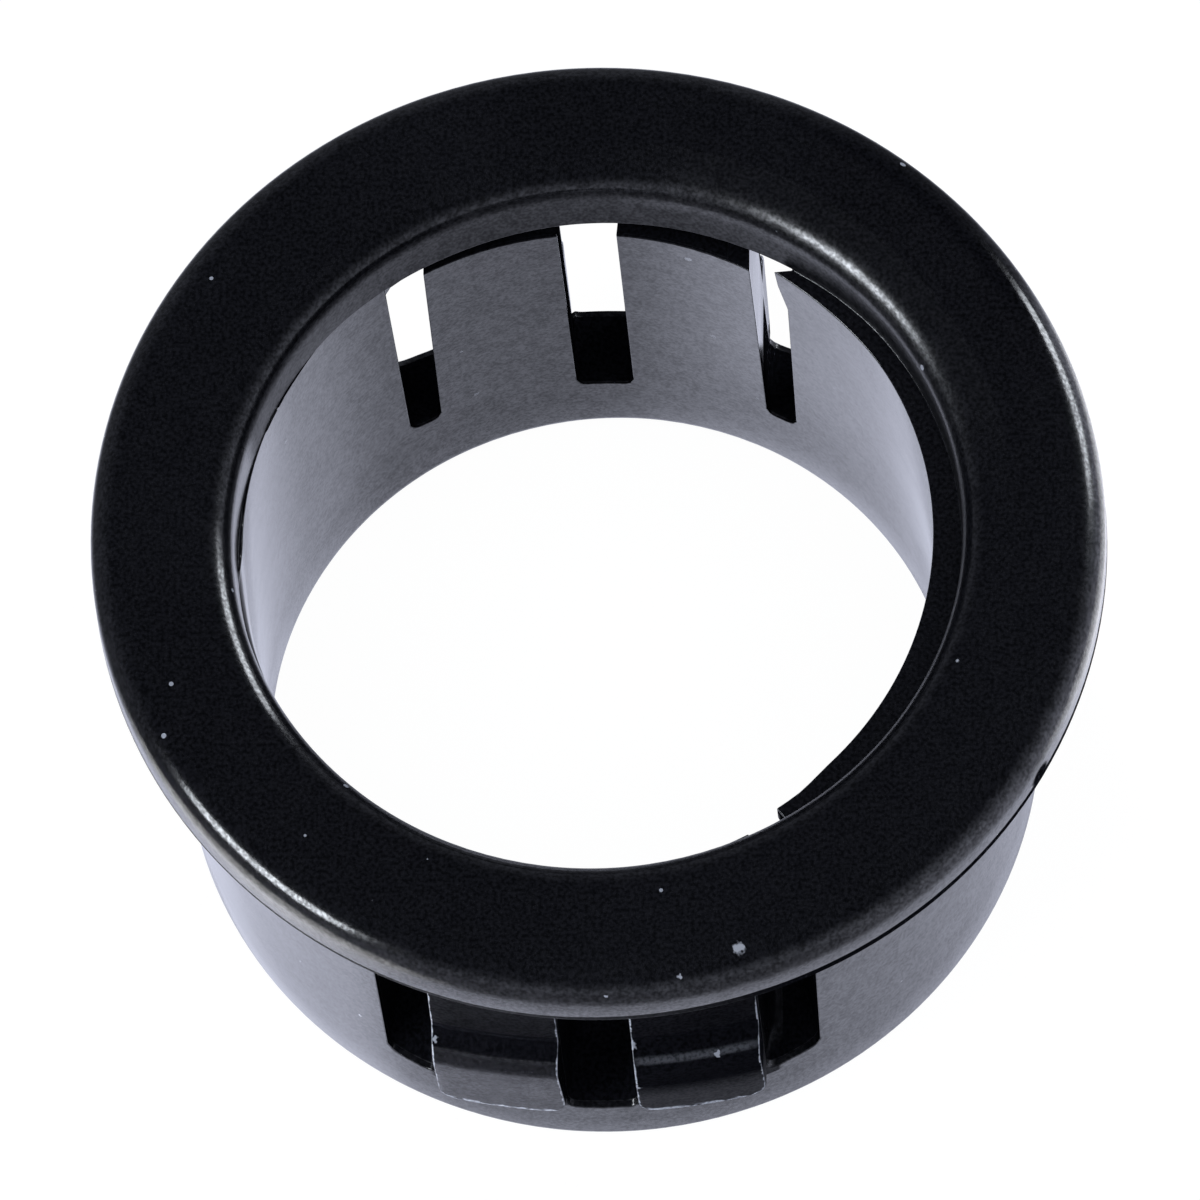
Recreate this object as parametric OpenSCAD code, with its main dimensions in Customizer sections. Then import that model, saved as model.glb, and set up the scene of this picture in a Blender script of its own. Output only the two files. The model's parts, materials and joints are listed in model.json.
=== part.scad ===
// Snap-in cable bushing, moulded in one piece of black nylon: a round flange with a soft lip,
// a straight barrel, and two groups of snap fingers that the slots free from the barrel wall.
// Millimetres, +Z up. The origin lies on the bore axis, level with the underside of the flange.

/* [Flange] */
// Outside diameter of the flange
flange_d = 14.7; // [13.8:0.1:18]
// Thickness of the flange
flange_t = 1.05; // [0.85:0.05:2]
// Rounding of the rim, along the outer edge of the top
rim_round = 0.5; // [0.1:0.05:0.6]
// Rounding of the rim's lower edge
rim_under_round = 0.1; // [0.02:0.02:0.18]
// Diameter of the mouth, the hole through the flange, at its foot
mouth_d = 10.5; // [10.1:0.05:11]
// Angle by which the mouth opens towards the top
mouth_draft = 3; // [0:0.5:15]
// Rounding of the lip, around the mouth
lip_round = 0.5; // [0.1:0.05:0.75]
// Sideways mismatch of the two mould halves, which sets the flange off the barrel along X
mould_shift_x = 0.18; // [0:0.01:0.2]
// The same mismatch towards the front, along -Y
mould_shift_y = 0.2; // [0:0.01:0.22]

/* [Barrel] */
// Outside diameter of the barrel
barrel_d = 12.5; // [12:0.05:13]
// Length of the barrel below the flange
barrel_len = 7.55; // [6.5:0.05:10]
// Diameter of the bore that the cable goes through
bore_d = 10; // [9.4:0.05:10.05]
// Rounding of the barrel's free end, outside
end_round = 0.15; // [0.02:0.01:0.3]
// Rounding of the barrel's free end, at the bore
bore_end_round = 0.3; // [0.02:0.01:0.4]

/* [Slots] */
// Height of the closed ring that is left below the slots, at the bore
ring_h = 1.55; // [1.1:0.05:2]
// Angle at which the feet of the slots fall towards the outside
sill_slope = 22; // [0:1:24]
// Width of the slot between two fingers, at its foot and at the bore
mid_slot_w = 0.82; // [0.6:0.02:1.2]
// Angle by which each side of that slot opens towards the outside
mid_slot_flare = 5; // [1:1:8]
// Width of the slot between a finger and the barrel, at its foot and at the bore
side_slot_w = 0.42; // [0.36:0.02:0.6]
// Angle by which the barrel's side of that slot opens towards the outside
side_slot_flare = 14; // [4:1:20]
// Draft of the barrel's side of that slot, which makes it wider towards the flange
wall_draft = 1; // [0.1:0.1:2]
// Draft of the fingers' sides, which makes them narrower towards the flange
finger_draft = 0.2; // [0.1:0.1:1]
// Rounding in the lower corners of the slots
slot_foot_round = 0.14; // [0.04:0.02:0.17]
// Gap between the finger tips and the flange
tip_gap = 0.5; // [0.2:0.05:0.8]

/* [Snap fingers] */
// Width of a finger at its foot
finger_w = 1.98; // [1.6:0.02:2.2]
// Distance behind the bore axis of the fingers' centre of curvature, which makes their faces flatter
face_back = 3.2; // [0:0.1:5]
// Height of the snap ridge above the finger's face
ridge_h = 0.36; // [0.2:0.02:0.6]
// Distance from the flange down to the crest of the ridge
ridge_drop = 4.5; // [2:0.05:4.8]
// Rounding of the crest
ridge_round = 0.5; // [0.04:0.02:0.56]
// Height of the sloping shoulder that holds the panel, above the crest
shoulder_h = 0.55; // [0.5:0.05:0.9]
// Height of the ramp's lower end above the finger's face
toe_h = 0.12; // [0.04:0.02:0.18]
// Height of the ramp's lower end above the slots' outer edge, less than zero where it hangs below
toe_rise = 0.1; // [-0.2:0.05:0.2]
// Rounding of the ramp's two lower corners, seen from the front
toe_round = 0.25; // [0.05:0.05:0.4]

/* [Hidden] */
$fn = 128;
flange_r = flange_d / 2;
mouth_r = mouth_d / 2;
barrel_r = barrel_d / 2;
bore_r = bore_d / 2;
wall_t = barrel_r - bore_r;
foot_z = ring_h - barrel_len;
sill_z = foot_z - wall_t * tan(sill_slope);
finger_edge = mid_slot_w / 2 + finger_w;
hinge_x = finger_edge + side_slot_w;
hinge_y = sqrt(bore_r * bore_r - hinge_x * hinge_x);
hinge_foot_z = foot_z + (bore_r - hinge_y) * tan(sill_slope);
toe_z = sill_z + toe_rise;
crest_r = barrel_r + ridge_h;
crest_centre = [crest_r - ridge_round, -ridge_drop];
through = flange_d;

// Where a straight line from point p touches a circle, on the side given as 1 or -1
function touch_point(p, centre, r, side) =
    let (d = centre - p)
    let (turn = atan2(d.y, d.x) + side * asin(r / norm(d)))
    p + sqrt(d * d - r * r) * [cos(turn), sin(turn)];

// The sliver that a rounding takes off a square corner, which points along sx and sy
module corner_off(corner, r, sx, sy) {
    translate(corner - [sx * r, sy * r])
        difference() {
            translate([min(0, sx) * r, min(0, sy) * r])
                square(r);
            circle(r);
        }
}

// Half of the flange seen in section, with its lip rounded from the slanting mouth to the flat top
module flange_section() {
    lip_z = flange_t - lip_round;
    lip_x = mouth_r + (lip_round + lip_z * sin(mouth_draft)) / cos(mouth_draft);
    translate([lip_x, lip_z])
        circle(lip_round);
    difference() {
        polygon([
            [mouth_r, 0],
            [flange_r, 0],
            [flange_r, flange_t],
            [lip_x, flange_t],
            [lip_x, lip_z],
            [lip_x - lip_round * cos(mouth_draft), lip_z + lip_round * sin(mouth_draft)]
        ]);
        corner_off([flange_r, flange_t], rim_round, 1, 1);
        corner_off([flange_r, 0], rim_under_round, 1, -1);
    }
}

module barrel_section() {
    difference() {
        translate([bore_r, -barrel_len])
            square([wall_t, barrel_len]);
        corner_off([barrel_r, -barrel_len], end_round, 1, -1);
        corner_off([bore_r, -barrel_len], bore_end_round, -1, -1);
    }
}

// A finger's outer part in section: the neck, the ridge with its shoulder, and the ramp below
module face_section() {
    shoulder = [barrel_r, shoulder_h - ridge_drop];
    toe = [barrel_r + toe_h, toe_z];
    buried = barrel_r - wall_t / 2;
    translate(crest_centre)
        circle(ridge_round);
    polygon([
        [buried, toe_z],
        toe,
        touch_point(toe, crest_centre, ridge_round, -1),
        crest_centre,
        touch_point(shoulder, crest_centre, ridge_round, 1),
        shoulder,
        [barrel_r, -tip_gap],
        [buried, -tip_gap]
    ]);
}

// A finger's outline from the front, with its two lower corners rounded
module pad_outline() {
    difference() {
        translate([mid_slot_w / 2, toe_z])
            square([finger_w, -toe_z]);
        corner_off([mid_slot_w / 2, toe_z], toe_round, -1, -1);
        corner_off([finger_edge, toe_z], toe_round, 1, -1);
    }
}

// The outer parts of one pair of fingers, a ring round their own centre trimmed to their outlines
module faces() {
    intersection() {
        translate([0, -face_back, 0])
            rotate_extrude()
                translate([face_back, 0])
                    face_section();
        for (side = [0, 1])
            mirror([side, 0, 0])
                translate([0, through, 0])
                    rotate([90, 0, 0])
                        linear_extrude(through)
                            pad_outline();
    }
}

// A slot seen from the front, with its foot from x = -w to x = 0 and its walls leaning apart
module slot_profile(w, left_draft, right_draft) {
    rise = barrel_len + flange_t;
    polygon([
        [0, slot_foot_round],
        [tan(right_draft) * rise, rise],
        [-w - tan(left_draft) * rise, rise],
        [-w, slot_foot_round]
    ]);
    translate([slot_foot_round - w, 0])
        square([w - 2 * slot_foot_round, slot_foot_round]);
    for (x = [-slot_foot_round, slot_foot_round - w])
        translate([x, slot_foot_round])
            circle(slot_foot_round);
}

// The same slot as a block through the wall, its foot falling outwards from y = 0
module slot_block(w, left_draft, right_draft) {
    outwards = 2 * wall_t;
    inwards = wall_t + barrel_len * tan(sill_slope);
    rotate([90 - sill_slope, 0, 0])
        translate([0, 0, -outwards])
            linear_extrude(outwards + inwards)
                slot_profile(w, left_draft, right_draft);
}

// The slot beside one finger: straight along the finger, flared along the barrel
module side_slot() {
    translate([hinge_x, hinge_y, hinge_foot_z])
        slot_block(side_slot_w, finger_draft, wall_draft);
    intersection() {
        translate([hinge_x, hinge_y, hinge_foot_z])
            rotate([0, 0, -side_slot_flare])
                slot_block(2 * side_slot_w, wall_draft, wall_draft);
        translate([finger_edge, 0, -barrel_len])
            cube([through, through, barrel_len + flange_t]);
    }
}

// Everything that frees one pair of fingers from the barrel wall
module window() {
    for (side = [0, 1])
        mirror([side, 0, 0]) {
            translate([mid_slot_w / 2, bore_r, foot_z])
                rotate([0, 0, -mid_slot_flare])
                    slot_block(mid_slot_w, finger_draft, finger_draft);
            side_slot();
        }
    translate([-finger_edge, 0, -tip_gap])
        cube([2 * finger_edge, through, tip_gap + flange_t]);
}

module bushing() {
    color([0.09, 0.09, 0.1]) {
        translate([mould_shift_x, -mould_shift_y, 0])
            rotate_extrude()
                flange_section();
        difference() {
            union() {
                rotate_extrude()
                    barrel_section();
                for (group = [0, 1])
                    mirror([0, group, 0])
                        faces();
            }
            for (group = [0, 1])
                mirror([0, group, 0])
                    window();
        }
    }
}

bushing();
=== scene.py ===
import json
import math
import bmesh
import bpy
from mathutils import Matrix, Vector

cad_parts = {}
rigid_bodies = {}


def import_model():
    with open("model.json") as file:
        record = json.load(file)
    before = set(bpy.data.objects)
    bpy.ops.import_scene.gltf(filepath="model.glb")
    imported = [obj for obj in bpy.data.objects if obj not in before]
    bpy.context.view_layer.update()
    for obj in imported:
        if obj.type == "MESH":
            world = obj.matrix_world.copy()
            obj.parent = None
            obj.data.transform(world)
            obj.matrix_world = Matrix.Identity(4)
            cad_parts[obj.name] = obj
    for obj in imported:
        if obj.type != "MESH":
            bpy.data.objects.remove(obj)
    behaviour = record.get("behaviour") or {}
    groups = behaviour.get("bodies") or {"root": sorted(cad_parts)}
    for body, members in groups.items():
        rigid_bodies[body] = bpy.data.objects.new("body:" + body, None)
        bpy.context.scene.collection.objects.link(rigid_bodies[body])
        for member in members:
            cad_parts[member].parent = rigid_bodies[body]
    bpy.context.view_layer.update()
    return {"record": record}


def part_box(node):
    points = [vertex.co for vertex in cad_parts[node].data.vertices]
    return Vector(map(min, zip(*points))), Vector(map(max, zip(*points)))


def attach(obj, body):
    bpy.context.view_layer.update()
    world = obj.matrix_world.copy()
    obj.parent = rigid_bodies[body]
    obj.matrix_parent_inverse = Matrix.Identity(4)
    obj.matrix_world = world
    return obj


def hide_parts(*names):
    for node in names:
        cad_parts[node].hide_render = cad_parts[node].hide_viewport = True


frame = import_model()
mm = 0.001
scene = bpy.context.scene
print("frame loaded")

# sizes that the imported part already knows, in millimetres
lowCorner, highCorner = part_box("bushing")
boreMount = next(m for m in frame["record"]["mounts"] if m["name"] == "bore")
flangeRadius = (highCorner.x - lowCorner.x) / 2 / mm
flangeThick = highCorner.z / mm
barrelLength = -lowCorner.z / mm
boreRadius = boreMount["dims"]["r_mm"]
mouldShift = Vector((highCorner.x + lowCorner.x, highCorner.y + lowCorner.y)) / 2 / mm

# the moulded body, in millimetres and degrees
moulding = {
    "mouthRadius": 5.25,
    "mouthDraft": 3,
    "lipRound": 0.5,
    "rimRound": 0.5,
    "rimUnderRound": 0.1,
    "barrelRadius": 6.25,
    "endRound": 0.15,
    "boreEndRound": 0.3,
    "ringHeight": 1.55,
    "sillSlope": 22,
    "midSlot": 0.82,
    "midFlare": 5,
    "sideSlot": 0.42,
    "sideFlare": 14,
    "wallDraft": 1.0,
    "fingerDraft": 0.2,
    "footRound": 0.14,
    "tipGap": 0.5,
    "fingerWidth": 1.98,
    "faceBack": 3.2,
    "ridgeHeight": 0.36,
    "ridgeDrop": 4.5,
    "ridgeRound": 0.5,
    "shoulderHeight": 0.55,
    "toeHeight": 0.12,
    "toeRise": 0.1,
    "toeRound": 0.3,
    "underDrop": 0.01,  # from the toe to the row below it
    "edgeSoftness": 0.025,
    "edgeSteps": 2,
    "sharpAngle": 35,  # an edge sharper than this is softened
    "seamDistance": 0.001,
}
mouthRadius, barrelRadius = moulding["mouthRadius"], moulding["barrelRadius"]

# how finely the body is divided, in steps, and where its corners are divided, in millimetres
detail = {
    "lipSteps": 10,
    "topSteps": 4,
    "rimSteps": 14,
    "underSteps": 4,
    "endSteps": 5,
    "boreEndSteps": 6,
    "neckSteps": 5,
    "crestSteps": 7,
    "rampSteps": 4,
    "rampEnd": 0.9,  # share of the ramp at its last row
    "midSteps": 3,
    "faceSteps": 5,
    "wallSteps": 30,
    "wallRows": 6.5,  # rows over which the plain wall makes up for the ramp
    "cornerStations": [0.04, 0.09],
    "toeStations": [0.0, 0.045, 0.11, 0.18],
}


def lerp(a, b, t):
    return a + (b - a) * t


def between(steps):
    # shares of the way at the inner points of a line in equal steps
    return [i / steps for i in range(1, steps)]


def tangent(degrees):
    return math.tan(math.radians(degrees))


def arc(centre, radius, fromDeg, toDeg, steps):
    # points on a circle, as (distance from the axis, height)
    turns = [math.radians(lerp(fromDeg, toDeg, i / steps)) for i in range(steps + 1)]
    return [(centre[0] + radius * math.cos(t), centre[1] + radius * math.sin(t)) for t in turns]


def touchPoint(point, centre, radius, side):
    # where a straight line from a point touches a circle
    dx, dz = centre[0] - point[0], centre[1] - point[1]
    far = math.hypot(dx, dz)
    turn = math.atan2(dz, dx) + side * math.asin(radius / far)
    reach = math.sqrt(far * far - radius * radius)
    return point[0] + reach * math.cos(turn), point[1] + reach * math.sin(turn)


def cornerRise(distance, radius):
    # height of a rounded corner above its foot, at a distance from its side
    gap = max(0.0, radius - distance)
    return radius - math.sqrt(radius * radius - gap * gap)


# heights of the slots' feet and of a finger's features, and the finger's two edges at its foot
footZ = moulding["ringHeight"] - barrelLength
sillZ = footZ - (barrelRadius - boreRadius) * tangent(moulding["sillSlope"])
toeZ = sillZ + moulding["toeRise"]
tipZ = -moulding["tipGap"]
shoulderZ = moulding["shoulderHeight"] - moulding["ridgeDrop"]
fingerStart = moulding["midSlot"] / 2
fingerEnd = fingerStart + moulding["fingerWidth"]


def flangeLoop(m):
    # section of the flange from the foot of the mouth, over the top, to the underside
    lip, rim, under = m["lipRound"], m["rimRound"], m["rimUnderRound"]
    outer, top = flangeRadius, flangeThick
    draft = math.radians(m["mouthDraft"])
    lipX = mouthRadius + (lip + (top - lip) * math.sin(draft)) / math.cos(draft)
    bend = arc((lipX, top - lip), lip, 180 - m["mouthDraft"], 90, detail["lipSteps"])
    loop = [(mouthRadius, 0.0), ((mouthRadius + bend[0][0]) / 2, bend[0][1] / 2)] + bend
    loop += [(lerp(lipX, outer - rim, t), top) for t in between(detail["topSteps"])]
    loop += arc((outer - rim, top - rim), rim, 90, 0, detail["rimSteps"])
    loop += arc((outer - under, under), under, 0, -90, detail["underSteps"])
    return loop


def endLoop(m):
    # section of the barrel's free end, from the outside round to the bore
    outside, inside = m["endRound"], m["boreEndRound"]
    loop = arc((barrelRadius - outside, outside - barrelLength), outside, 0, -90, detail["endSteps"])
    loop += arc((boreRadius + inside, inside - barrelLength), inside, -90, -180, detail["boreEndSteps"])
    return loop


class QuarterBody:
    # a quarter of the body as a warped grid: stations run round the axis, rows run down the wall

    def __init__(self, m):
        self.m = m
        self.points, self.faces, self.index = [], [], {}
        self.loop, self.end = flangeLoop(m), endLoop(m)
        self.stations, self.rows = self.makeStations(), self.makeRows()
        zones = [s[0] for s in self.stations]
        self.fingerFrom, self.fingerTo = zones.index("finger"), zones.index("side") - 1
        self.hinge, self.last = zones.index("wall"), len(zones) - 1
        kinds = [r[0] for r in self.rows]
        self.under, self.foot = kinds.index("under"), kinds.index("foot")
        # how far the slots' feet have fallen at the bore and at the outside
        slope, walls = tangent(m["sillSlope"]), (boreRadius, barrelRadius)
        self.falls = [[slope * (self.plan(s, footZ, r).y - boreRadius) for r in walls]
                      for s in range(self.hinge + 1)]

    def makeStations(self):
        # each station is (zone, share of the way across it, distance to its nearer side)
        m = self.m
        corner = detail["cornerStations"] + [m["footRound"]]
        toe = detail["toeStations"] + [m["toeRound"]]
        half, width, gap = fingerStart, m["fingerWidth"], m["sideSlot"]
        mid = [0.0, half / detail["midSteps"]] + [half - d for d in reversed(corner)]
        finger = toe + [lerp(toe[-1], width - toe[-1], t) for t in between(detail["faceSteps"])]
        finger += [width - d for d in reversed(toe)]
        side = corner + [gap / 2] + [gap - d for d in reversed(corner)]
        stations = [("mid", x / half, half - x) for x in mid]
        stations += [("finger", x / width, min(x, width - x)) for x in finger]
        stations += [("side", x / gap, min(x, gap - x)) for x in side]
        steps = detail["wallSteps"]
        return stations + [("wall", i / steps, 0.0) for i in range(steps + 1)]

    def makeRows(self):
        # profile of a finger from its free tip to its foot, as (kind, radius, height)
        m = self.m
        radius = barrelRadius
        crest = (radius + m["ridgeHeight"] - m["ridgeRound"], -m["ridgeDrop"])
        shoulder = (radius, shoulderZ)
        toe = (radius + m["toeHeight"], toeZ)
        top = touchPoint(shoulder, crest, m["ridgeRound"], 1)
        low = touchPoint(toe, crest, m["ridgeRound"], -1)
        turns = [math.degrees(math.atan2(p[1] - crest[1], p[0] - crest[0])) for p in (top, low)]
        self.rampZ = low[1]
        ramp = between(detail["rampSteps"]) + [detail["rampEnd"]]
        rows = [("top", radius, 0.0), ("tip", radius, tipZ)]
        rows += [("neck", radius, lerp(tipZ, shoulderZ, t)) for t in between(detail["neckSteps"]) + [1]]
        rows += [("crest", r, z) for r, z in arc(crest, m["ridgeRound"], *turns, detail["crestSteps"])]
        rows += [("ramp", lerp(low[0], toe[0], t), lerp(low[1], toe[1], t)) for t in ramp]
        rows += [("toe", *toe), ("under", radius, toe[1] - m["underDrop"]), ("foot", radius, sillZ)]
        return rows + [("ring", radius, lerp(sillZ, m["endRound"] - barrelLength, 0.5))]

    def plan(self, station, z, radius, back=0.0):
        # plan point of a station at a height, where it meets a circle round the axis or a point behind it
        m = self.m
        zone, share, _ = self.stations[station]
        rise = z - footZ
        slip = tangent(m["fingerDraft"]) * rise
        midX, edgeX = fingerStart + slip, fingerEnd - slip
        hingeX = fingerEnd + m["sideSlot"] + tangent(m["wallDraft"]) * rise
        x, flare = {
            "mid": (midX * share, m["midFlare"] * share),
            "finger": (lerp(midX, edgeX, share), m["midFlare"] * (1 - share)),
            "side": (lerp(edgeX, hingeX, share), m["sideFlare"] * share),
            "wall": (hingeX, m["sideFlare"]),
        }[zone]
        start = Vector((x, math.sqrt(boreRadius ** 2 - x * x)))
        way = Vector((math.sin(math.radians(flare)), math.cos(math.radians(flare))))
        behind = start + Vector((0, back))
        along = behind.dot(way)
        reach = math.sqrt(along * along - behind.length_squared + (radius + back) ** 2) - along
        point = start + way * reach
        if zone == "wall":
            turn = lerp(math.atan2(point.x, point.y), math.pi / 2, share)
            point = Vector((math.sin(turn), math.cos(turn))) * radius
        return point

    def heights(self, station, row):
        # height of a row at the bore and at the outside
        m = self.m
        zone, _, inside = self.stations[station]
        kind, _, z = self.rows[row]
        corner = cornerRise(inside, m["footRound"]) if zone in ("mid", "side") else m["footRound"]
        innerFoot, outerFoot = (footZ + corner - fall for fall in self.falls[min(station, self.hinge)])
        if zone == "finger":
            toeCorner = cornerRise(inside, m["toeRound"])
            outerFoot = lerp(toeZ - m["footRound"], outerFoot, toeCorner / m["toeRound"])
            sink = (self.rampZ - z) / (self.rampZ - toeZ)
            z += toeCorner * max(0.0, sink)
        elif zone == "wall" and kind in ("ramp", "toe", "under"):
            rows = detail["wallRows"]
            z = lerp(self.rampZ, outerFoot, (row - self.foot + rows) / rows)
        if kind == "foot":
            return innerFoot, outerFoot
        if kind == "ring":
            ends = (m["boreEndRound"] - barrelLength, m["endRound"] - barrelLength)
            return lerp(innerFoot, ends[0], 0.5), lerp(outerFoot, ends[1], 0.5)
        start = -m["ridgeDrop"]
        if z > start:
            return z, z
        return start + (z - start) * (innerFoot - start) / (outerFoot - start), z

    def add(self, key, x, y, z, slide=0, worn=0.0):
        # stations are laid out with y away from the axis, and the quarter stands in front, at minus y
        if key not in self.index:
            self.index[key] = len(self.points)
            self.points.append((Vector((x, -y, z)), slide, worn))
        return self.index[key]

    def inner(self, station, row):
        z = self.heights(station, row)[0]
        return self.add(("inner", station, row), *self.plan(station, z, boreRadius), z)

    def outer(self, station, row):
        z = self.heights(station, row)[1]
        radius, back, worn = barrelRadius, 0.0, 0.0
        if self.stations[station][0] == "finger" and row < self.under:
            radius, back = self.rows[row][1], self.m["faceBack"]
            edge = station in (self.fingerFrom, self.fingerTo) or row == self.under - 1
            worn = 1.0 if row and edge else 0.0
        return self.add(("outer", station, row), *self.plan(station, z, radius, back), z, worn=worn)

    def middle(self, station, row):
        # a point within the wall, which is the foot of the mouth in the top row
        if row == 0:
            return self.flange(station, 0)
        a, b = (self.points[p(station, row)][0] for p in (self.inner, self.outer))
        p = a.lerp(b, (mouthRadius - boreRadius) / (barrelRadius - boreRadius))
        return self.add(("middle", station, row), p.x, -p.y, p.z)

    def flange(self, station, ring):
        # slide tells the mismatch step how to move a point: 1 with the flange, 2 along the window's side
        radius, z = self.loop[ring]
        a, b = (self.plan(station, 0.0, r) for r in (mouthRadius, barrelRadius))
        turns = [math.atan2(p.x, p.y) for p in (a, b)]
        turn = lerp(*turns, (radius - mouthRadius) / (flangeRadius - mouthRadius))
        x, y = radius * math.sin(turn), radius * math.cos(turn)
        slide = 2 if station == self.hinge and ring == 0 else 1
        return self.add(("flange", station, ring), x, y, z, slide)

    def endRing(self, station, ring):
        radius, z = self.end[ring]
        return self.add(("end", station, ring), *self.plan(station, footZ, radius), z)

    def strip(self, lineA, lineB):
        for i in range(len(lineA) - 1):
            self.faces.append((lineA[i], lineA[i + 1], lineB[i + 1], lineB[i]))

    def build(self):
        count, rings, ends = len(self.rows), range(len(self.loop)), range(len(self.end))
        through = (self.inner, self.middle, self.outer)
        for k in range(self.last):
            pair = (k, k + 1)
            onFinger, onWall = self.fingerFrom <= k < self.fingerTo, k >= self.hinge
            first = 0 if onWall else 1 if onFinger else self.foot
            self.strip(*[[self.flange(s, r) for r in rings] + [self.outer(s, 0)] for s in pair])
            seat = self.inner if onWall else self.outer
            self.strip(*[[seat(s, 0), self.flange(s, 0)] for s in pair])
            for face in (self.inner, self.outer):
                self.strip(*[[face(s, r) for r in range(first, count)] for s in pair])
            self.strip(*[[self.outer(s, count - 1)] + [self.endRing(s, r) for r in ends]
                         + [self.inner(s, count - 1)] for s in pair])
            if not onWall:
                self.strip(*[[p(s, first) for p in through] for s in pair])
        for station, first in ((self.fingerFrom, 1), (self.fingerTo, 1), (self.hinge, 0)):
            lines = [[p(station, r) for r in range(first, self.foot + 1)] for p in through]
            self.strip(lines[0], lines[1])
            self.strip(lines[1], lines[2])

    def mesh(self, name):
        self.build()
        data = bpy.data.meshes.new(name)
        data.from_pydata([p[0] * mm for p in self.points], [], self.faces)
        data.attributes.new("slide", "INT", "POINT").data.foreach_set("value", [p[1] for p in self.points])
        data.attributes.new("worn", "FLOAT", "POINT").data.foreach_set("value", [p[2] for p in self.points])
        return data


def addInput(tree, name, kind):
    return tree.interface.new_socket(name, in_out="INPUT", socket_type=kind).identifier


def chain(tree, *nodes):
    # first output of each node into the first input of the next
    for a, b in zip(nodes, nodes[1:]):
        tree.links.new(a.outputs[0], b.inputs[0])


def fourQuartersTree():
    # the quarter mirrored to the left, then both mirrored to the back, and welded
    tree = bpy.data.node_groups.new("fourQuarters", "GeometryNodeTree")
    addInput(tree, "Quarter", "NodeSocketGeometry")
    ids = {"seam": addInput(tree, "Seam Distance", "NodeSocketFloat"),
           "finish": addInput(tree, "Finish", "NodeSocketMaterial")}
    tree.interface.new_socket("Body", in_out="OUTPUT", socket_type="NodeSocketGeometry")
    new = tree.nodes.new
    source, out = new("NodeGroupInput"), new("NodeGroupOutput")
    shape = source
    for scale in ((-1, 1, 1), (1, -1, 1)):
        turn, flip = new("GeometryNodeTransform"), new("GeometryNodeFlipFaces")
        join = new("GeometryNodeJoinGeometry")
        turn.inputs["Scale"].default_value = scale
        chain(tree, shape, turn, flip, join)
        tree.links.new(shape.outputs[0], join.inputs[0])
        shape = join
    weld, shade = new("GeometryNodeMergeByDistance"), new("GeometryNodeSetShadeSmooth")
    real, paint = new("GeometryNodeRealizeInstances"), new("GeometryNodeSetMaterial")
    chain(tree, shape, weld, shade, real, paint, out)
    tree.links.new(source.outputs["Seam Distance"], weld.inputs["Distance"])
    tree.links.new(source.outputs["Finish"], paint.inputs["Material"])
    return tree, ids


def bake(piece):
    # the modifiers' result becomes the piece's own mesh
    graph = bpy.context.evaluated_depsgraph_get()
    data = bpy.data.meshes.new_from_object(piece.evaluated_get(graph), depsgraph=graph)
    piece.modifiers.clear()
    piece.data = data
    data.name = piece.name
    return piece


def growPiece(name, data, tree, values):
    piece = bpy.data.objects.new(name, data)
    scene.collection.objects.link(piece)
    step = piece.modifiers.new("shape", "NODES")
    step.node_group = tree
    for identifier, value in values.items():
        step[identifier] = value
    return bake(piece)


def smooth(value, start, end):
    # softly from 0 to 1 while the value goes from start to end
    t = min(1.0, max(0.0, (value - start) / (end - start)))
    return t * t * (3 - 2 * t)


# how the two mould halves met, in millimetres; each pair is where an effect starts and where it is full,
# as a height, a distance, or a share of the way from the axis to the side that it names
mating = {
    "lipPush": 0.07,
    "lipReach": barrelRadius - 0.05,
    "footPush": 0.1,
    "footBack": (0.6, 0.95),
    "rimOval": 0.044,
    "ovalInset": 0.5,  # from the flange's edge to where the rim is fully oval
    "ledgeLoss": 0.22,
    "ledgeLeft": (0.45, 0.75),
    "ledgeFront": (0.0, 0.27),
    "ledgeDepth": 0.8,
    "frontLoss": 0.1,
    "frontPart": (0.7, 0.83),
    "ledgeGrow": 0.2,
    "growFrom": 0.5,
    "growRight": (0.75, 0.58),
    "growHeight": (-1.2, -0.2),
    "sillLift": 0.3,
    "sillEdge": fingerStart + 0.15,
    "sillCorner": 0.06,
    "cornerShare": 0.45,
    "sillBottom": (footZ - 1.3, footZ - 0.6),
    "sillTop": (footZ - 0.15, footZ - 0.25),
    "slipBack": 0.085,
    "slipFront": 0.045,
    "slipDepth": (2.5, 4.0),
    "slipHeight": (footZ - 1.4, footZ - 0.8),
    "slipRight": (fingerEnd + 0.76, fingerEnd + 0.41),
    "skin": 0.01,  # a point this near to a wall belongs to it
}


def withFlange(p, foot):
    # the lip is a little fuller at the front, and the rim is slightly oval across its diagonals
    reach = p.length
    full = smooth(-p.y / reach, 0.0, 1.0) * smooth(reach, mating["lipReach"], boreRadius)
    full *= mating["lipPush"]
    oval = mating["rimOval"] * smooth(reach, mating["lipReach"], flangeRadius - mating["ovalInset"])
    return p * (1 - 2 * oval * p.x * p.y / reach ** 3) + mouldShift + Vector((0, full - foot))


def alongSide(p, foot):
    # along the window's flared side, to where it meets the mouth
    flare = math.radians(moulding["sideFlare"])
    way = Vector((math.copysign(math.sin(flare), p.x), math.copysign(math.cos(flare), p.y)))
    off = p - mouldShift
    along = off.dot(way)
    reach = math.sqrt(along * along - off.length_squared + mouthRadius ** 2) - along
    return p + way * (reach - foot)


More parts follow.
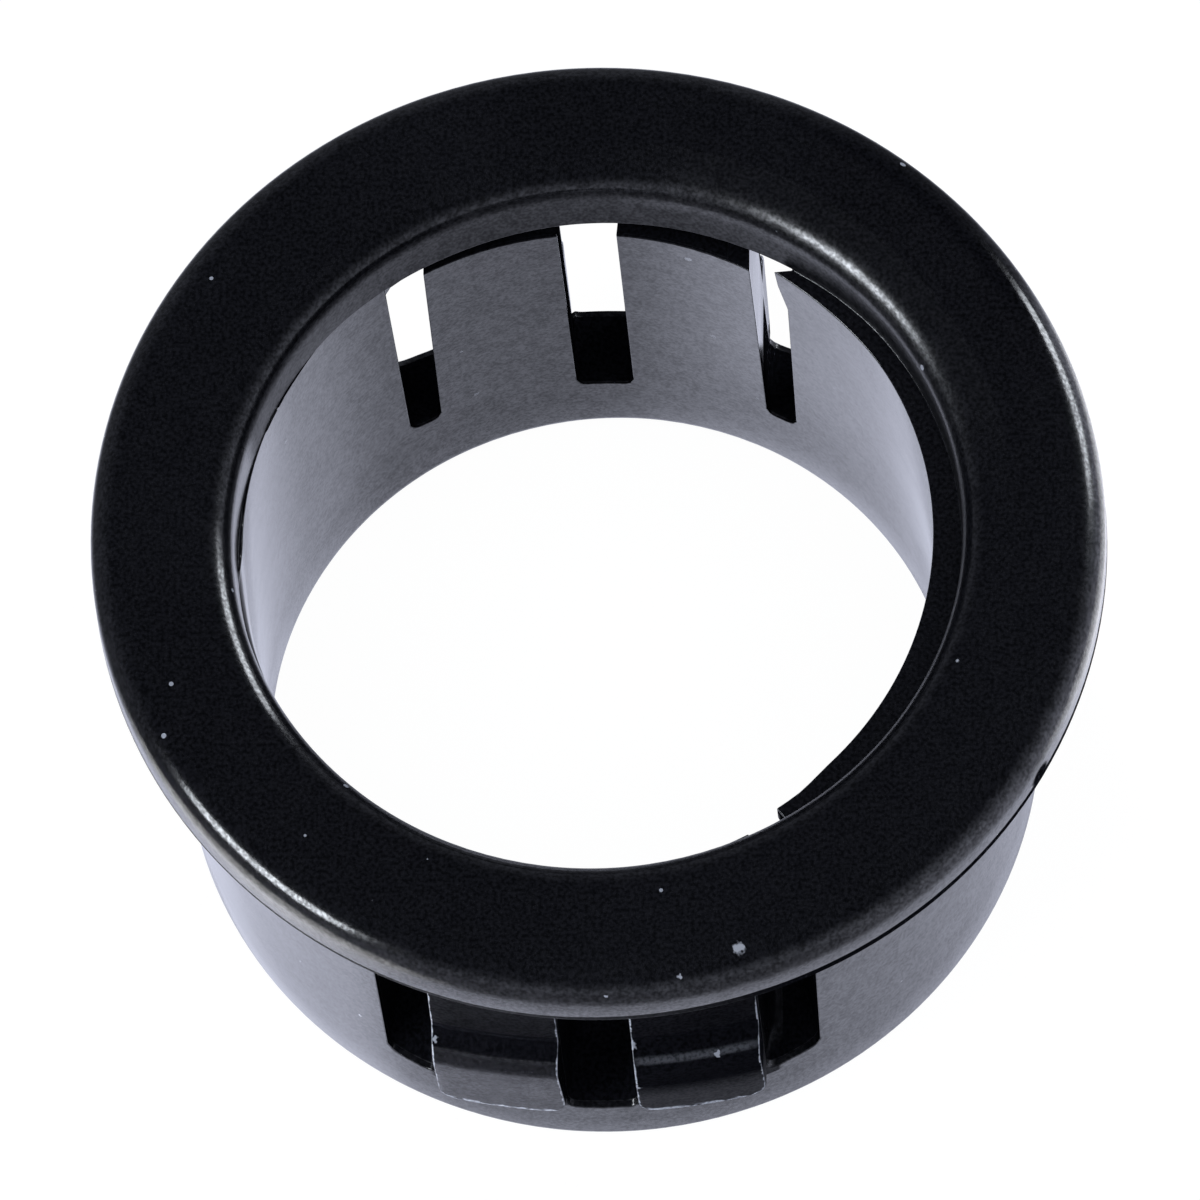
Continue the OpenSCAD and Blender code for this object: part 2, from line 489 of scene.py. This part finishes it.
def boreEdge(p, z):
    # the bore's upper edge is drawn back at the front, under the lip, and most of all on the left
    reach = p.length
    left = smooth(-p.x / reach, *mating["ledgeLeft"]) * smooth(-p.y / reach, *mating["ledgeFront"])
    front = smooth(-p.y / reach, *mating["frontPart"])
    loss = max(mating["ledgeLoss"] * left, mating["frontLoss"] * front)
    p = p * (1 + loss / reach * smooth(z, -mating["ledgeDepth"], 0.0))
    # and reaches further into the windows on the right
    right = p.x / reach
    if right > mating["growFrom"]:
        grown = smooth(right, *mating["growRight"]) * smooth(z, *mating["growHeight"])
        turn = mating["ledgeGrow"] / reach * grown
        p.rotate(Matrix.Rotation(math.copysign(turn, p.y), 2))
    return p


def sillRise(p, z):
    # the foot of the back's middle slot is flatter than the others
    inside = abs(p.x) < mating["sillEdge"] - mating["sillCorner"]
    rise = mating["sillLift"] * (1.0 if inside else mating["cornerShare"])
    share = (p.length - boreRadius) / (barrelRadius - boreRadius)
    return rise * share * smooth(z, *mating["sillBottom"]) * smooth(z, *mating["sillTop"])


def windowSlip(p, z):
    # both windows sit a little to the left
    slip = mating["slipBack"] if p.y > 0 else mating["slipFront"] * smooth(p.x, *mating["slipRight"])
    return slip * smooth(abs(p.y), *mating["slipDepth"]) * smooth(z, *mating["slipHeight"])


def mismatch(data):
    # the flange's half of the mould sits a little off the barrel's half
    slide = [s.value for s in data.attributes["slide"].data]
    for vertex, kind in zip(data.vertices, slide):
        p, z = vertex.co.xy / mm, vertex.co.z / mm
        reach = p.length
        # the mouth's foot is a little fuller at the back
        foot = mating["footPush"] * smooth(p.y / reach, *mating["footBack"])
        foot *= smooth(reach, mating["lipReach"], boreRadius) * smooth(z, flangeThick / 2, 0.0)
        if kind == 1:
            p = withFlange(p, foot)
        elif kind == 2:
            p = alongSide(p, foot)
        else:
            inMiddle = p.y > 0 and abs(p.x) < mating["sillEdge"]
            if abs(reach - boreRadius) < mating["skin"]:
                p = boreEdge(p, z)
            elif inMiddle and reach < barrelRadius + mating["skin"]:
                vertex.co.z += sillRise(p, z) * mm
            p.x -= windowSlip(p, z)
        vertex.co.xy = p * mm
    data.attributes.remove(data.attributes["slide"])


def put(tree, kind, values=None, **settings):
    # a new node with its settings made and its inputs set or linked
    node = tree.nodes.new(kind)
    for name, value in settings.items():
        setattr(node, name, value)
    for key, value in (values or {}).items():
        if isinstance(value, bpy.types.NodeSocket):
            tree.links.new(value, node.inputs[key])
        else:
            node.inputs[key].default_value = value
    return node


def calc(tree, operation, a, b=0.0):
    return put(tree, "ShaderNodeMath", {0: a, 1: b}, operation=operation).outputs[0]


def fade(tree, value, start, end, low=0.0, high=1.0):
    # goes softly from low to high while the value goes from start to end
    values = {"Value": value, "From Min": start, "From Max": end, "To Min": low, "To Max": high}
    return put(tree, "ShaderNodeMapRange", values, interpolation_type="SMOOTHSTEP").outputs["Result"]


def fold(tree, operation, masks):
    result = masks[0]
    for mask in masks[1:]:
        result = calc(tree, operation, result, mask)
    return result


def every(tree, *masks):
    return fold(tree, "MULTIPLY", masks)


def most(tree, *masks):
    return fold(tree, "MAXIMUM", masks)


def mixed(tree, mask, low, high):
    # low where the mask is 0, high where it is 1
    return put(tree, "ShaderNodeMix", {0: mask, 2: low, 3: high}).outputs[0]


def blend(tree, mask, low, high):
    # the same for two colours
    return put(tree, "ShaderNodeMix", {0: mask, 6: low, 7: high}, data_type="RGBA").outputs[2]


def gap(tree, a, b):
    return put(tree, "ShaderNodeVectorMath", {0: a, 1: b}, operation="DISTANCE").outputs["Value"]


def inMillimetres(tree, place):
    return put(tree, "ShaderNodeVectorMath", {0: place, "Scale": 1 / mm}, operation="SCALE").outputs[0]


# surface of the nylon, with distances in millimetres
nylon = {
    "dark": (0.0006, 0.0007, 0.0009, 1),
    "light": (0.0066, 0.0068, 0.0092, 1),
    "pale": (0.42, 0.44, 0.50, 1),
    "cloudShare": 0.3,  # of the change from dark to light, where the grain makes the rest
    "index": 1.53,
    "shine": 0.54,
    "gloss": (0.13, 0.21),
    "boreCoat": 0.35,
    "sideCoat": 0.6,
    "coatGloss": 0.1,
    "cloud": (0.45, 4),  # noises, as patches in a millimetre and levels of detail
    "grain": (1 / 0.055, 3),
    "wave": (1 / 0.9, 1),
    "blotch": (1 / 0.22, 2),
    "flake": (1 / 0.08, 1),
    "grainDepth": 0.0012,
    "waveDepth": 0.006,
    "gateScar": (6.58, -3.9, 0.3),
    # paleness of the painted highlight along the right front finger's crest
    "crestHighlightLevel": 0.13,
    "speckGap": 0.8,
    "speckSize": 0.06,
    "speckShare": 0.8,
    "speckPaleness": 0.7,
    "flakeShake": 0.16,
    "flakeCore": 0.6,
    # larger flakes, each as its place and its reach
    "flakes": ((2.28, -6.85, 1.03, 0.1), (1.44, -7.25, 0.93, 0.05), (0.37, -7.46, 0.8, 0.045),
               (0.49, -6.30, -4.0, 0.07), (0.50, -6.54, -5.1, 0.08), (0.48, -6.46, -5.75, 0.07),
               (1.72, -6.33, -4.22, 0.06), (-2.36, -6.1, -4.1, 0.06)),
}

# places on the nylon, each as limits along coordinates: where the place starts, where it is full, and in
# some its two levels; sideways and lengthways run from -1, at the left or in front, to 1
places = {
    "slip": (("y", -0.1, 0.1, mating["slipFront"], mating["slipBack"]),
             ("farY", *mating["slipDepth"]), ("z", *mating["slipHeight"])),
    "bore": (("fromBore", boreRadius + 0.12, boreRadius + 0.04), ("z", 0.0, -0.1)),
    # painted shade: less shine on the bore's wall at the back, towards the left
    "paintedShadeBoreBack": (("sideways", 0.3, -0.1), ("sideways", -0.95, -0.6), ("y", 0, 2)),
    "boreTurn": (("edgewise", 0.85, 1.0),),
    "boreRight": (("sideways", 0.1, 0.5),),
    # painted sheen: more shine and a coat on the bore's wall at its left and right sides and on its right
    # half, less lower down
    "paintedSheenBoreSides": (("z", footZ - 0.6, footZ + 2.8, 0.2, 1.0),),
    "mouth": (("fromMouth", mouthRadius + 0.11, mouthRadius + 0.05), ("z", 0.0, 0.02)),
    # painted reflection: a brighter mouth wall at the left
    "mouthLeft": (("sideways", -0.75, -0.88), ("lengthways", -0.65, -0.55), ("lengthways", 0.3, 0.2)),
    # painted highlight: more shine on the lip at the back right, which its roughness also spreads
    "lipBack": (("fromMouth", mouthRadius, mouthRadius + 0.05),
                ("fromMouth", mouthRadius + 0.8, mouthRadius + 0.75),
                ("z", 0.3, 0.5), ("sideways", 0.0, 0.3), ("lengthways", 0.0, 0.3)),
    # painted shade: the rim's highlight is taken off at the back right
    "rimBack": (("fromMouth", flangeRadius - 0.65, flangeRadius - 0.45), ("sideways", 0.3, 0.6),
                ("lengthways", 0.38, 0.52)),
    "rimLine": (("sideways", -0.2, 0.4, 0.17, 0.25),),
    # painted shade: a dark line along the underside of the rim
    "rimUnder": (("fromMouth", flangeRadius - 0.2, flangeRadius - 0.15), ("belowLine", -0.01, 0.02),
                 ("lengthways", 0.75, 0.4), ("sideways", -0.2, 0.4, 0.85, 1.0)),
    "gate": (("toGate", 0.26, 0.16),),
    # painted shade: the windows' walls and feet lose their shine, except on the lit walls below
    "slots": (("fromBore", boreRadius + 0.03, boreRadius + 0.06),
              ("fromBore", barrelRadius - 0.08, barrelRadius - 0.11), ("z", -0.02, -0.1)),
    "lightWall": (("x", fingerEnd - 0.44, fingerEnd - 0.39), ("x", fingerEnd + 0.36, fingerEnd + 0.31),
                  ("y", 3, 4), ("z", footZ + 1.4, footZ + 1.8)),
    "lightSide": (("x", fingerEnd - 0.24, fingerEnd - 0.19), ("x", fingerEnd + 0.21, fingerEnd + 0.16),
                  ("y", -3, -4), ("z", footZ - 0.2, footZ)),
    "faces": (("fromAxis", barrelRadius - 0.05, barrelRadius - 0.01),
              ("farX", fingerEnd + 0.21, fingerEnd + 0.11)),
    "front": (("y", -boreRadius, -boreRadius - 0.5),),
    # painted shade on the fingers: the neck under the flange, the shoulder, below the crest and the front
    # ramps lose their shine
    "neck": (("z", shoulderZ + 0.05, shoulderZ + 0.1), ("z", tipZ + 0.15, tipZ + 0.1)),
    "shoulder": (("z", shoulderZ - 0.25, shoulderZ - 0.21), ("z", shoulderZ + 0.14, shoulderZ + 0.1)),
    "belowCrest": (("z", shoulderZ - 0.15, shoulderZ - 0.45), ("z", toeZ - 0.055, toeZ - 0.015)),
    "ramp": (("x", fingerStart - 0.16, fingerStart - 0.11), ("x", fingerEnd + 0.16, fingerEnd + 0.11),
             ("z", shoulderZ + 0.1, shoulderZ - 0.15), ("z", toeZ - 0.055, toeZ - 0.015)),
    # painted sheen: the barrel's outer wall on the left side gets a coat
    "leftSide": (("fromAxis", barrelRadius - 0.05, barrelRadius - 0.01), ("z", -0.02, -0.06),
                 ("sideways", -0.42, -0.6)),
    # painted sheen: full shine on the barrel's left outer wall
    "leftBarrel": (("fromMouth", flangeRadius - 0.15, flangeRadius - 0.25),),
    "fraying": (("blotch", 0.35, 0.65, -0.4, 0.3),),
    "chipping": (("grain", 0.3, 0.6, 0.35, 1.0),),
    "wornEdges": (("ragged", 0.2, 0.8), ("edge", 0.1, 0.4), ("fromAxis", barrelRadius - 0.08, barrelRadius),
                  ("facing", 0.9, 0.6)),
    # a painted highlight, as pale colour, along the crest of the right front finger
    "paintedCrestHighlight": (("x", fingerStart - 0.11, fingerStart + 0.29), ("x", fingerEnd + 0.11, fingerEnd - 0.29),
               ("z", shoulderZ - 0.31, shoulderZ - 0.25), ("z", shoulderZ - 0.16, shoulderZ - 0.22)),
    "specks": (("inSpeck", 0.0, 0.01), ("inSlots", 1.0, 0.5)),
    "grainTone": (("grain", 0.3, 0.7),),
    "sparkle": (("grain", 0.3, 0.7, 0.6, 1.4), ("blotch", 0.3, 0.7, 0.78, 1.22)),
    "gloss": (("cloud", 0.3, 0.7, *nylon["gloss"]),),
}
dullPlaces = ("slots", "neck", "shoulder", "ramp", "rimUnder", "gate")

# shine and roughness of the places, in the order in which they are laid over each other; most shine levels
# paint shade, highlight or reflection onto their places
shineAt = {
    # painted shade on the bore's back wall
    "paintedShadeBoreBack": 0.24,
    # painted sheen on the bore's sides
    "paintedSheenBoreSides": 0.95,
    # painted sheen on the barrel's left outer wall
    "leftBarrel": 1.0,
    "mouth": 0.37,
    # painted highlights on the mouth and lip, and the rim's highlight taken off at the back right
    "mouthLeft": 1.0,
    "lipBack": 0.75,
    "rimBack": 0.1,
    # painted shade on the fingers below the crest
    "belowCrest": 0.05,
    # painted shade inside the windows
    "slots": 0.0,
    # painted shade on the fingers' necks, shoulders and front ramps
    "neck": ("x", -0.2, 0.2, 0.03, 0.006),
    "shoulder": 0.0,
    "ramp": ("z", footZ + 1.0, footZ, 0.0, 0.09),
    # painted shade under the rim, and no shine at the gate scar
    "gateScarAndRimShade": 0.0,
}
roughAt = {
    "mouth": 0.42,
    "lipBack": 0.28,
    "mouthLeft": nylon["gloss"][1],
    "dull": 0.65,
}


class NylonSurface:
    # the nylon's nodes: first the coordinates, then the places they mark, then the looks of those places

    def __init__(self, tree):
        self.tree = tree
        where = put(tree, "ShaderNodeTexCoord").outputs
        self.spot = inMillimetres(tree, where["Object"])
        x, y, z = put(tree, "ShaderNodeSeparateXYZ", {0: self.spot}).outputs
        across = put(tree, "ShaderNodeSeparateXYZ", {0: where["Normal"]}).outputs["X"]
        at = self.at = {"x": x, "y": y, "z": z}
        at["farX"], at["farY"], at["facing"] = (calc(tree, "ABSOLUTE", v) for v in (x, y, across))
        at["fromAxis"] = self.fromLine(x, y)
        at["fromMouth"] = self.fromLine(x, y, mouldShift)
        # the windows' slip carries the bore's own axis to the left
        at["fromBore"] = self.fromLine(calc(tree, "ADD", x, self.region("slip")), y)
        at["sideways"] = calc(tree, "DIVIDE", x, at["fromAxis"])
        at["lengthways"] = calc(tree, "DIVIDE", y, at["fromAxis"])
        at["edgewise"] = calc(tree, "ABSOLUTE", at["sideways"])
        at["belowLine"] = calc(tree, "SUBTRACT", self.region("rimLine"), z)
        at["toGate"] = gap(tree, self.spot, nylon["gateScar"])
        for name in ("cloud", "grain", "wave", "blotch"):
            at[name] = self.noise(name)["Fac"]
        at["edge"] = put(tree, "ShaderNodeAttribute", attribute_name="worn").outputs["Fac"]
        at["ragged"] = calc(tree, "ADD", at["edge"], self.region("fraying"))
        self.masks = self.mark()

    def fromLine(self, x, y, centre=(0, 0)):
        # distance from an upright line
        flat = put(self.tree, "ShaderNodeCombineXYZ", {0: x, 1: y}).outputs[0]
        return gap(self.tree, flat, (*centre, 0))

    def noise(self, name):
        scale, levels = nylon[name]
        values = {"Vector": self.spot, "Scale": scale, "Detail": levels}
        return put(self.tree, "ShaderNodeTexNoise", values).outputs

    def region(self, name, *others):
        # product of a place's limits and of the masks it lies within
        limits = [fade(self.tree, self.at[key], *span) for key, *span in places[name]]
        return every(self.tree, *others, *limits)

    def mark(self):
        tree, region = self.tree, self.region
        bore, mouth, faces, leftSide = (region(name) for name in ("bore", "mouth", "faces", "leftSide"))
        front = region("front", faces)
        unlit = [fade(tree, region(name), 1.0, 0.0) for name in ("lightWall", "lightSide")]
        masks = {name: region(name) for name in ("lipBack", "rimBack", "rimUnder", "gate")}
        masks |= {name: region(name, faces) for name in ("neck", "shoulder", "belowCrest")}
        masks |= {name: region(name, front) for name in ("ramp", "paintedCrestHighlight")}
        masks |= {
            "mouth": mouth,
            "mouthLeft": region("mouthLeft", mouth),
            "paintedShadeBoreBack": region("paintedShadeBoreBack", bore),
            "paintedSheenBoreSides": region("paintedSheenBoreSides", bore, most(tree, region("boreTurn"), region("boreRight"))),
            "leftSide": leftSide,
            "leftBarrel": region("leftBarrel", leftSide),
            "slots": region("slots", *unlit),
        }
        masks["gateScarAndRimShade"] = most(tree, masks["gate"], masks["rimUnder"])
        masks["dull"] = most(tree, *(masks[name] for name in dullPlaces))
        return masks

    def lay(self, value, levels):
        # lays places over a value; a level that isn't one number changes along a coordinate
        for name, level in levels.items():
            if isinstance(level, tuple):
                key, *span = level
                level = fade(self.tree, self.at[key], *span)
            value = mixed(self.tree, self.masks[name], value, level)
        return value

    def specks(self):
        # small specks by chance, and flakes with ragged outlines at their own places
        tree = self.tree
        values = {"Vector": self.spot, "Scale": 1 / nylon["speckGap"]}
        cells = put(tree, "ShaderNodeTexVoronoi", values).outputs
        chance = put(tree, "ShaderNodeSeparateColor", {0: cells["Color"]}).outputs
        size = calc(tree, "MULTIPLY", chance[1], nylon["speckSize"] / nylon["speckGap"])
        self.at["inSpeck"] = calc(tree, "SUBTRACT", size, cells["Distance"])
        self.at["inSlots"] = self.masks["slots"]
        result = self.region("specks", calc(tree, "LESS_THAN", chance[0], nylon["speckShare"]))
        flutter = self.noise("flake")["Color"]
        shake = put(tree, "ShaderNodeVectorMath", {0: flutter, 1: (0.5,) * 3}, operation="SUBTRACT")
        values = {0: shake.outputs[0], 1: (nylon["flakeShake"],) * 3, 2: self.spot}
        shaken = put(tree, "ShaderNodeVectorMath", values, operation="MULTIPLY_ADD").outputs[0]
        for *centre, reach in nylon["flakes"]:
            flake = fade(tree, gap(tree, shaken, centre), reach, reach * nylon["flakeCore"])
            result = most(tree, result, flake)
        return result

    def tone(self):
        # dark nylon, pale where the fingers' edges are worn and in the specks, and with a painted highlight
        # along one finger's crest
        tree, share = self.tree, nylon["cloudShare"]
        chipped = self.region("chipping")
        worn = self.region("wornEdges", chipped)
        paintedCrestHighlight = every(tree, self.masks["paintedCrestHighlight"], chipped, nylon["crestHighlightLevel"])
        paleMarksAndHighlight = most(tree, worn, paintedCrestHighlight, calc(tree, "MULTIPLY", self.specks(), nylon["speckPaleness"]))
        patchy = calc(tree, "ADD", calc(tree, "MULTIPLY", self.at["cloud"], share),
                      calc(tree, "MULTIPLY", self.region("grainTone"), 1 - share))
        return blend(tree, paleMarksAndHighlight, blend(tree, patchy, nylon["dark"], nylon["light"]), nylon["pale"])

    def shade(self):
        tree = self.tree
        swell = put(tree, "ShaderNodeBump", {
            "Height": self.at["wave"], "Strength": 1.0, "Distance": nylon["waveDepth"] * mm})
        relief = put(tree, "ShaderNodeBump", {
            "Height": self.at["grain"], "Strength": 1.0, "Distance": nylon["grainDepth"] * mm,
            "Normal": swell.outputs[0]})
        # painted sheen: a coat on the bore's sides
        boreCoat = calc(tree, "MULTIPLY", self.masks["paintedSheenBoreSides"], nylon["boreCoat"])
        # painted sheen: a coat on the barrel's left outer wall
        sideCoat = calc(tree, "MULTIPLY", self.masks["leftSide"], nylon["sideCoat"])
        shader = put(tree, "ShaderNodeBsdfPrincipled", {
            "Base Color": self.tone(),
            "Roughness": self.lay(self.region("gloss"), roughAt),
            "IOR": nylon["index"],
            "Specular IOR Level": self.region("sparkle", self.lay(nylon["shine"], shineAt)),
            "Normal": relief.outputs[0],
            "Coat Weight": most(tree, boreCoat, sideCoat),
            "Coat Roughness": nylon["coatGloss"]})
        put(tree, "ShaderNodeOutputMaterial", {"Surface": shader.outputs[0]})


def blackNylon():
    material = bpy.data.materials.new("blackNylon")
    material.use_nodes = True
    tree = material.node_tree
    tree.nodes.clear()
    NylonSurface(tree).shade()
    print("nylon ready:", len(tree.nodes), "nodes")
    return material


def makeBody(finish):
    quarter = QuarterBody(moulding)
    tree, ids = fourQuartersTree()
    values = {ids["seam"]: moulding["seamDistance"] * mm, ids["finish"]: finish}
    body = growPiece("mouldedBody", quarter.mesh("quarterBody"), tree, values)
    mismatch(body.data)
    grid = bmesh.new()
    grid.from_mesh(body.data)
    bmesh.ops.recalc_face_normals(grid, faces=grid.faces)
    openEdges = sum(not e.is_manifold for e in grid.edges)
    print("body:", len(grid.faces), "faces,", openEdges, "open edges,", grid.calc_volume() / mm ** 3, "mm3")
    grid.to_mesh(body.data)
    grid.free()
    soften = body.modifiers.new("softEdges", "BEVEL")
    soften.width = moulding["edgeSoftness"] * mm
    soften.segments = moulding["edgeSteps"]
    soften.limit_method = "ANGLE"
    soften.angle_limit = math.radians(moulding["sharpAngle"])
    soften.use_clamp_overlap = False
    soften.harden_normals = True
    bake(body)
    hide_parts("bushing")
    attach(body, "root")
    print("body softened:", len(body.data.polygons), "faces")


makeBody(blackNylon())

# floor and room, with distances from the bushing's axis in millimetres; each pair is where a change
# starts and where it is full, as a share of the way to the front or to the right
studio = {
    "white": (1, 1, 1, 1),
    "floorSize": 1200,
    "floorGap": 0.02,
    "floorLit": 0.05,
    "floorBounce": (0.8, 0.8, 0.8, 1),
    "mirrorTint": (0.80, 0.83, 1.0, 1),
    "nearFloor": 11,
    "farFloor": 20,
    "farFront": 0.42,
    "farBack": 0.12,
    "farRight": 0.95,
    "backwards": (-0.9, -0.3),
    "rightwards": (0.45, 0.85),
    "roomTint": (0.8, 0.84, 1.0, 1),
    "horizon": 0.42,
    "horizonTop": 0.75,
    "overhead": 0.05,
    "brightSide": (-0.4, 0.9),
    "brightness": (0.35, 1.5),  # times the horizon's own, away from that side and on it
}


def floorMaterial():
    # white to the camera; in reflections a pool of light round the object, darker further off
    material = bpy.data.materials.new("paleFloor")
    material.use_nodes = True
    tree = material.node_tree
    tree.nodes.clear()
    rays = put(tree, "ShaderNodeLightPath").outputs
    mirrored = most(tree, rays["Is Glossy Ray"], rays["Is Transmission Ray"])
    spot = inMillimetres(tree, put(tree, "ShaderNodeTexCoord").outputs["Object"])
    away = gap(tree, spot, (0, 0, 0))
    split = put(tree, "ShaderNodeSeparateXYZ", {0: spot}).outputs
    sideways, lengthways = (calc(tree, "DIVIDE", split[axis], away) for axis in ("X", "Y"))
    far = fade(tree, lengthways, *studio["backwards"], studio["farFront"], studio["farBack"])
    far = mixed(tree, fade(tree, sideways, *studio["rightwards"]), far, studio["farRight"])
    pool = mixed(tree, fade(tree, away, studio["nearFloor"], studio["farFloor"]), 1.0, far)
    bright = 1 - studio["floorLit"] / 2
    shown = put(tree, "ShaderNodeEmission", {"Color": studio["white"], "Strength": bright})
    mirror = put(tree, "ShaderNodeEmission", {"Color": studio["mirrorTint"], "Strength": pool})
    lit = put(tree, "ShaderNodeBsdfDiffuse", {"Color": (studio["floorLit"],) * 3 + (1,)})
    plain = put(tree, "ShaderNodeBsdfDiffuse", {"Color": studio["floorBounce"]})
    glow = put(tree, "ShaderNodeMixShader", {0: mirrored, 1: shown.outputs[0], 2: mirror.outputs[0]})
    both = put(tree, "ShaderNodeAddShader", {0: glow.outputs[0], 1: lit.outputs[0]})
    seen = most(tree, rays["Is Camera Ray"], mirrored)
    pick = put(tree, "ShaderNodeMixShader", {0: seen, 1: plain.outputs[0], 2: both.outputs[0]})
    put(tree, "ShaderNodeOutputMaterial", {"Surface": pick.outputs[0]})
    return material


def makeFloor():
    data = bpy.data.meshes.new("floor")
    s, z = studio["floorSize"] * mm, -(barrelLength + studio["floorGap"]) * mm
    data.from_pydata([(-s, -s, z), (s, -s, z), (s, s, z), (-s, s, z)], [], [(0, 1, 2, 3)])
    floor = bpy.data.objects.new("floor", data)
    scene.collection.objects.link(floor)
    data.materials.append(floorMaterial())
    print("floor ready")


def makeWorld():
    # white to the camera; in reflections a glow along the horizon, brighter towards the front right
    world = bpy.data.worlds.new("studioRoom")
    scene.world = world
    world.use_nodes = True
    tree = world.node_tree
    tree.nodes.clear()
    place = put(tree, "ShaderNodeTexCoord").outputs["Generated"]
    x, y, z = put(tree, "ShaderNodeSeparateXYZ", {0: place}).outputs
    side = fade(tree, calc(tree, "SUBTRACT", x, y), *studio["brightSide"], *studio["brightness"])
    low = fade(tree, z, 0.0, studio["horizonTop"], studio["horizon"], 0.0)
    strength = calc(tree, "ADD", calc(tree, "MULTIPLY", low, side), studio["overhead"])
    room = put(tree, "ShaderNodeBackground", {"Color": studio["roomTint"], "Strength": strength})
    white = put(tree, "ShaderNodeBackground", {"Color": studio["white"]})
    toCamera = put(tree, "ShaderNodeLightPath").outputs["Is Camera Ray"]
    pick = put(tree, "ShaderNodeMixShader", {0: toCamera, 1: room.outputs[0], 2: white.outputs[0]})
    put(tree, "ShaderNodeOutputWorld", {"Surface": pick.outputs[0]})
    print("room ready")


# lamps, in millimetres, degrees and watts
lamps = {
    "tint": (0.88, 0.93, 1.0),
    "spotBlend": 0.7,
    "spotRadius": 1,
    "softboxes": (
        {"name": "leftSoftbox", "azimuth": -60, "elevation": 18, "distance": 300,
         "wide": 160, "high": 90, "radiance": 14},
        {"name": "backSoftbox", "azimuth": 131, "elevation": 13, "distance": 300,
         "wide": 130, "high": 100, "radiance": 9},
        {"name": "topFill", "azimuth": 0, "elevation": 80, "distance": 500,
         "wide": 500, "high": 500, "radiance": 2.5, "mirrored": False},
    ),
    "floorSpots": (
        {"name": "leftFloorSpot", "x": -14.5, "y": -10.5, "height": 60, "reach": 10, "power": 6.5},
        {"name": "rightFloorSpot", "x": 16.5, "y": 4, "height": 60, "reach": 9.5, "power": 5},
    ),
}


def outwards(azimuth, elevation):
    # direction from the object, with azimuth counted from the front to the right
    a, e = math.radians(azimuth), math.radians(elevation)
    return Vector((math.sin(a) * math.cos(e), -math.cos(a) * math.cos(e), math.sin(e)))


def hang(data, azimuth, elevation, distance, mirrored):
    # a lamp that faces the object
    way = outwards(azimuth, elevation)
    lamp = bpy.data.objects.new(data.name, data)
    scene.collection.objects.link(lamp)
    lamp.location = way * distance * mm
    lamp.rotation_euler = way.to_track_quat("Z", "Y").to_euler()
    lamp.visible_glossy = mirrored
    return lamp


def softbox(name, azimuth, elevation, distance, wide, high, radiance, mirrored=True):
    # a square lamp, its brightness given as radiance
    data = bpy.data.lights.new(name, "AREA")
    data.shape = "RECTANGLE"
    data.size, data.size_y = wide * mm, high * mm
    data.color = lamps["tint"]
    data.energy = radiance * math.pi * data.size * data.size_y
    return hang(data, azimuth, elevation, distance, mirrored)


def floorSpot(name, x, y, height, reach, power):
    # a spotlight that shines straight down beside the object
    data = bpy.data.lights.new(name, "SPOT")
    data.energy = power
    data.spot_size = 2 * math.atan(reach / (height + barrelLength))
    data.spot_blend = lamps["spotBlend"]
    data.shadow_soft_size = lamps["spotRadius"] * mm
    lamp = hang(data, 0, 90, height, False)
    lamp.location.xy = Vector((x, y)) * mm


def makeLamps():
    for lamp in lamps["softboxes"]:
        softbox(**lamp)
    for lamp in lamps["floorSpots"]:
        floorSpot(**lamp)
    print("lamps ready")


# orbit and lens that were fitted to the outline in the photograph, in a square frame: distances in
# millimetres, angles in degrees, focal length and aim in the frame's pixels, clipping in metres
shot = {
    "elevation": 67.07,
    "azimuth": 7.333,
    "roll": -7.435,
    "distance": 600,
    "focal": 41465.6,
    "aimX": -12.3,
    "aimY": -61.058,
    "frameSize": 1200,
    "sensor": 36,
    "clipping": (0.01, 10),
}


def makeCamera():
    a, r = math.radians(shot["azimuth"]), math.radians(shot["roll"])
    back = outwards(shot["azimuth"], shot["elevation"])
    right = Vector((math.cos(a), math.sin(a), 0))
    up = back.cross(right)
    across = right * math.cos(r) + up * math.sin(r)
    upright = up * math.cos(r) - right * math.sin(r)
    scale = shot["focal"] / shot["distance"]
    aim = upright * (shot["aimY"] / scale) - across * (shot["aimX"] / scale)
    data = bpy.data.cameras.new("camera")
    data.sensor_width = shot["sensor"]
    data.lens = shot["focal"] * shot["sensor"] / shot["frameSize"]
    data.clip_start, data.clip_end = shot["clipping"]
    camera = bpy.data.objects.new("camera", data)
    scene.collection.objects.link(camera)
    scene.camera = camera
    matrix = Matrix((across, upright, back)).transposed().to_4x4()
    matrix.translation = (aim + back * shot["distance"]) * mm
    camera.matrix_world = matrix
    print("camera ready")


makeFloor()
makeWorld()
makeLamps()
makeCamera()
scene.view_settings.view_transform = "Standard"
